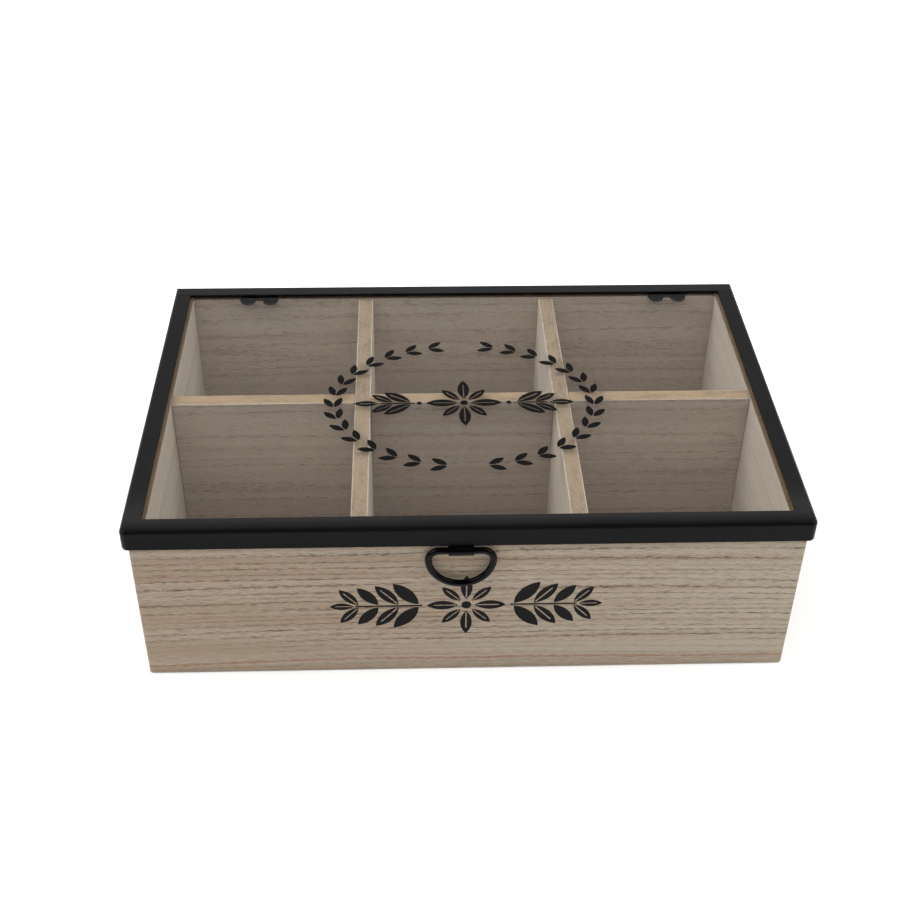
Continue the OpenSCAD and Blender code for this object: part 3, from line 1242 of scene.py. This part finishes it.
@dataclass
class FrontOrnament(Ornament):
    """Leafy branch printed on the front of the box."""

    name: str = "front_print"
    centre: tuple[float, float] = (-1 * MM, 33 * MM)
    petal: tuple[float, float] = (17 * MM, 6.4 * MM)
    rib: float = 0.7 * MM
    petal_sizes: tuple[float, float] = (0.66, 0.55)
    petal_gap: float = 3 * MM
    heart_r: float = 1.8 * MM
    pairs: int = 4
    pair_from: float = 16.5 * MM
    pair_gap: float = 7.2 * MM
    pair_size: float = 0.8
    pair_less: float = 0.07
    leaf_gap: float = 0.9 * MM
    lean: float = 48
    tip_x: float = 40.5 * MM
    tip_size: float = 0.5
    stalk: tuple[float, float, float] = (27.8 * MM, 24 * MM, 0.7 * MM)

    def build(self) -> None:
        """Draws the branch."""
        solid = self.leaf(*self.petal)
        ribbed = self.leaf(*self.petal, self.rib)
        middle = self.centre[1]
        self.rosette(ribbed, (0, middle), self.petal_sizes, self.petal_gap, self.heart_r)
        for side, base in ((1, 0), (-1, 180)):
            for step in range(self.pairs):
                at = (side * (self.pair_from + self.pair_gap * step), middle)
                size = self.pair_size - self.pair_less * step
                for lean in (-self.lean, self.lean):
                    leaf = ribbed if step % 2 else solid
                    self.put(leaf, at, base + lean, size, self.leaf_gap)
            self.put(ribbed, (side * self.tip_x, middle), base, self.tip_size)
            self.bar((side * self.stalk[0], middle), *self.stalk[1:])
        bpy.data.objects.remove(solid)
        bpy.data.objects.remove(ribbed)
        upright = Matrix.Rotation(math.radians(90), 4, "X")
        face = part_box("front_panel")[0].y - self.lift - self.ink_t / 2
        sheet = Matrix.Translation((self.centre[0], face, 0)) @ upright
        self.lay(sheet, "box", "oak_veneer", WOOD_INK.build())


@dataclass(frozen=True)
class Lamp:
    """A large soft lamp, so far off that it lights the whole floor evenly.

    It has the direction towards it, its light on a surface that faces it, how wide it looks in
    degrees, and whether glossy surfaces mirror it.
    """

    name: str
    towards: tuple[float, float, float]
    strength: float
    spread: float
    mirrored: bool = True


@dataclass
class Studio:
    """Floor, light and camera."""

    floor_size: float = 12.0
    lamps: tuple[Lamp, ...] = (
        Lamp("overhead_panel", (0, 0.1, 1), 0.6, 75, mirrored=False),
        Lamp("left_softbox", (-0.75, 0, 0.66), 2.7, 50),
        Lamp("right_softbox", (0.75, 0, 0.66), 2.0, 50),
        Lamp("front_panel_lamp", (0, -0.66, 0.75), 1.1, 60, mirrored=False),
    )
    lamp_away: float = 2.0
    camera_at: Vector = field(default_factory=lambda: Vector((-21.07, -435.29, 380.39)) * MM)
    azimuth: float = math.radians(2.18)
    elevation: float = math.radians(37.79)
    roll: float = math.radians(0.65)
    focal_px: float = 1379.18
    frame_px: float = 900.0
    sensor_mm: float = 36.0

    def build(self) -> None:
        """Makes the floor, the lamps, the sky and the camera."""
        deselect()
        bpy.ops.mesh.primitive_plane_add(size=self.floor_size)
        floor = bpy.context.active_object
        floor.name = "studio_floor"
        paint(floor, PAPER.build())
        for lamp in self.lamps:
            self._hang(lamp)
        self._sky()
        bpy.context.scene.view_settings.view_transform = "Standard"
        self._camera()

    def _hang(self, lamp: Lamp) -> None:
        """Hangs one lamp.

        Args:
            lamp: the lamp.
        """
        data = bpy.data.lights.new(lamp.name, "SUN")
        data.energy = lamp.strength
        data.angle = math.radians(lamp.spread)
        hung = bpy.data.objects.new(lamp.name, data)
        towards = Vector(lamp.towards)
        hung.location = towards.normalized() * self.lamp_away
        hung.rotation_mode = "QUATERNION"
        hung.rotation_quaternion = towards.to_track_quat("Z", "Y")
        hung.visible_glossy = lamp.mirrored
        bpy.context.scene.collection.objects.link(hung)

    def _sky(self) -> None:
        """Lights the room: white at the horizon, dim above and dark on the front side."""
        world = bpy.data.worlds.new("studio_sky")
        world.use_nodes = True
        tree = world.node_tree
        tree.nodes.clear()
        where = add_node(tree, "ShaderNodeTexCoord", output="Generated")
        depth = add_node(tree, "ShaderNodeSeparateXYZ", {0: where}, "Y")
        height = add_node(tree, "ShaderNodeSeparateXYZ", {0: where}, "Z")
        above, behind = [
            add_node(tree, "ShaderNodeMapRange", dict(zip(RANGE, values)), **SMOOTH)
            for values in ((height, 0.12, 0.42, 1.05, 0.26), (depth, -0.4, -0.1, 0.12, 1.0))
        ]
        level = add_node(tree, "ShaderNodeMath", {0: above, 1: behind}, operation="MULTIPLY")
        glow = add_node(tree, "ShaderNodeBackground", {"Color": (1, 1, 1, 1), "Strength": level})
        tree.links.new(glow, tree.nodes.new("ShaderNodeOutputWorld").inputs["Surface"])
        bpy.context.scene.world = world

    def _camera(self) -> None:
        """Sets up the camera, level but for a slight roll."""
        forward = Vector(
            (
                math.sin(self.azimuth) * math.cos(self.elevation),
                math.cos(self.azimuth) * math.cos(self.elevation),
                -math.sin(self.elevation),
            )
        )
        level = Vector((math.cos(self.azimuth), -math.sin(self.azimuth), 0))
        upright = level.cross(forward)
        right = level * math.cos(self.roll) + upright * math.sin(self.roll)
        up = upright * math.cos(self.roll) - level * math.sin(self.roll)
        data = bpy.data.cameras.new("camera")
        data.sensor_width = self.sensor_mm
        data.lens = self.sensor_mm * self.focal_px / self.frame_px
        camera = bpy.data.objects.new("camera", data)
        axes = Matrix((right, up, -forward)).transposed().to_4x4()
        camera.matrix_world = Matrix.Translation(self.camera_at) @ axes
        bpy.context.scene.collection.objects.link(camera)
        bpy.context.scene.camera = camera


def main() -> None:
    """Builds the studio and dresses the box, piece by piece."""
    Studio().build()
    Boards().dress()
    Steel().dress()
    Screws().build()
    Glazing().build()
    GlassOrnament().build()
    FrontOrnament().build()


if __name__ == "__main__":
    main()
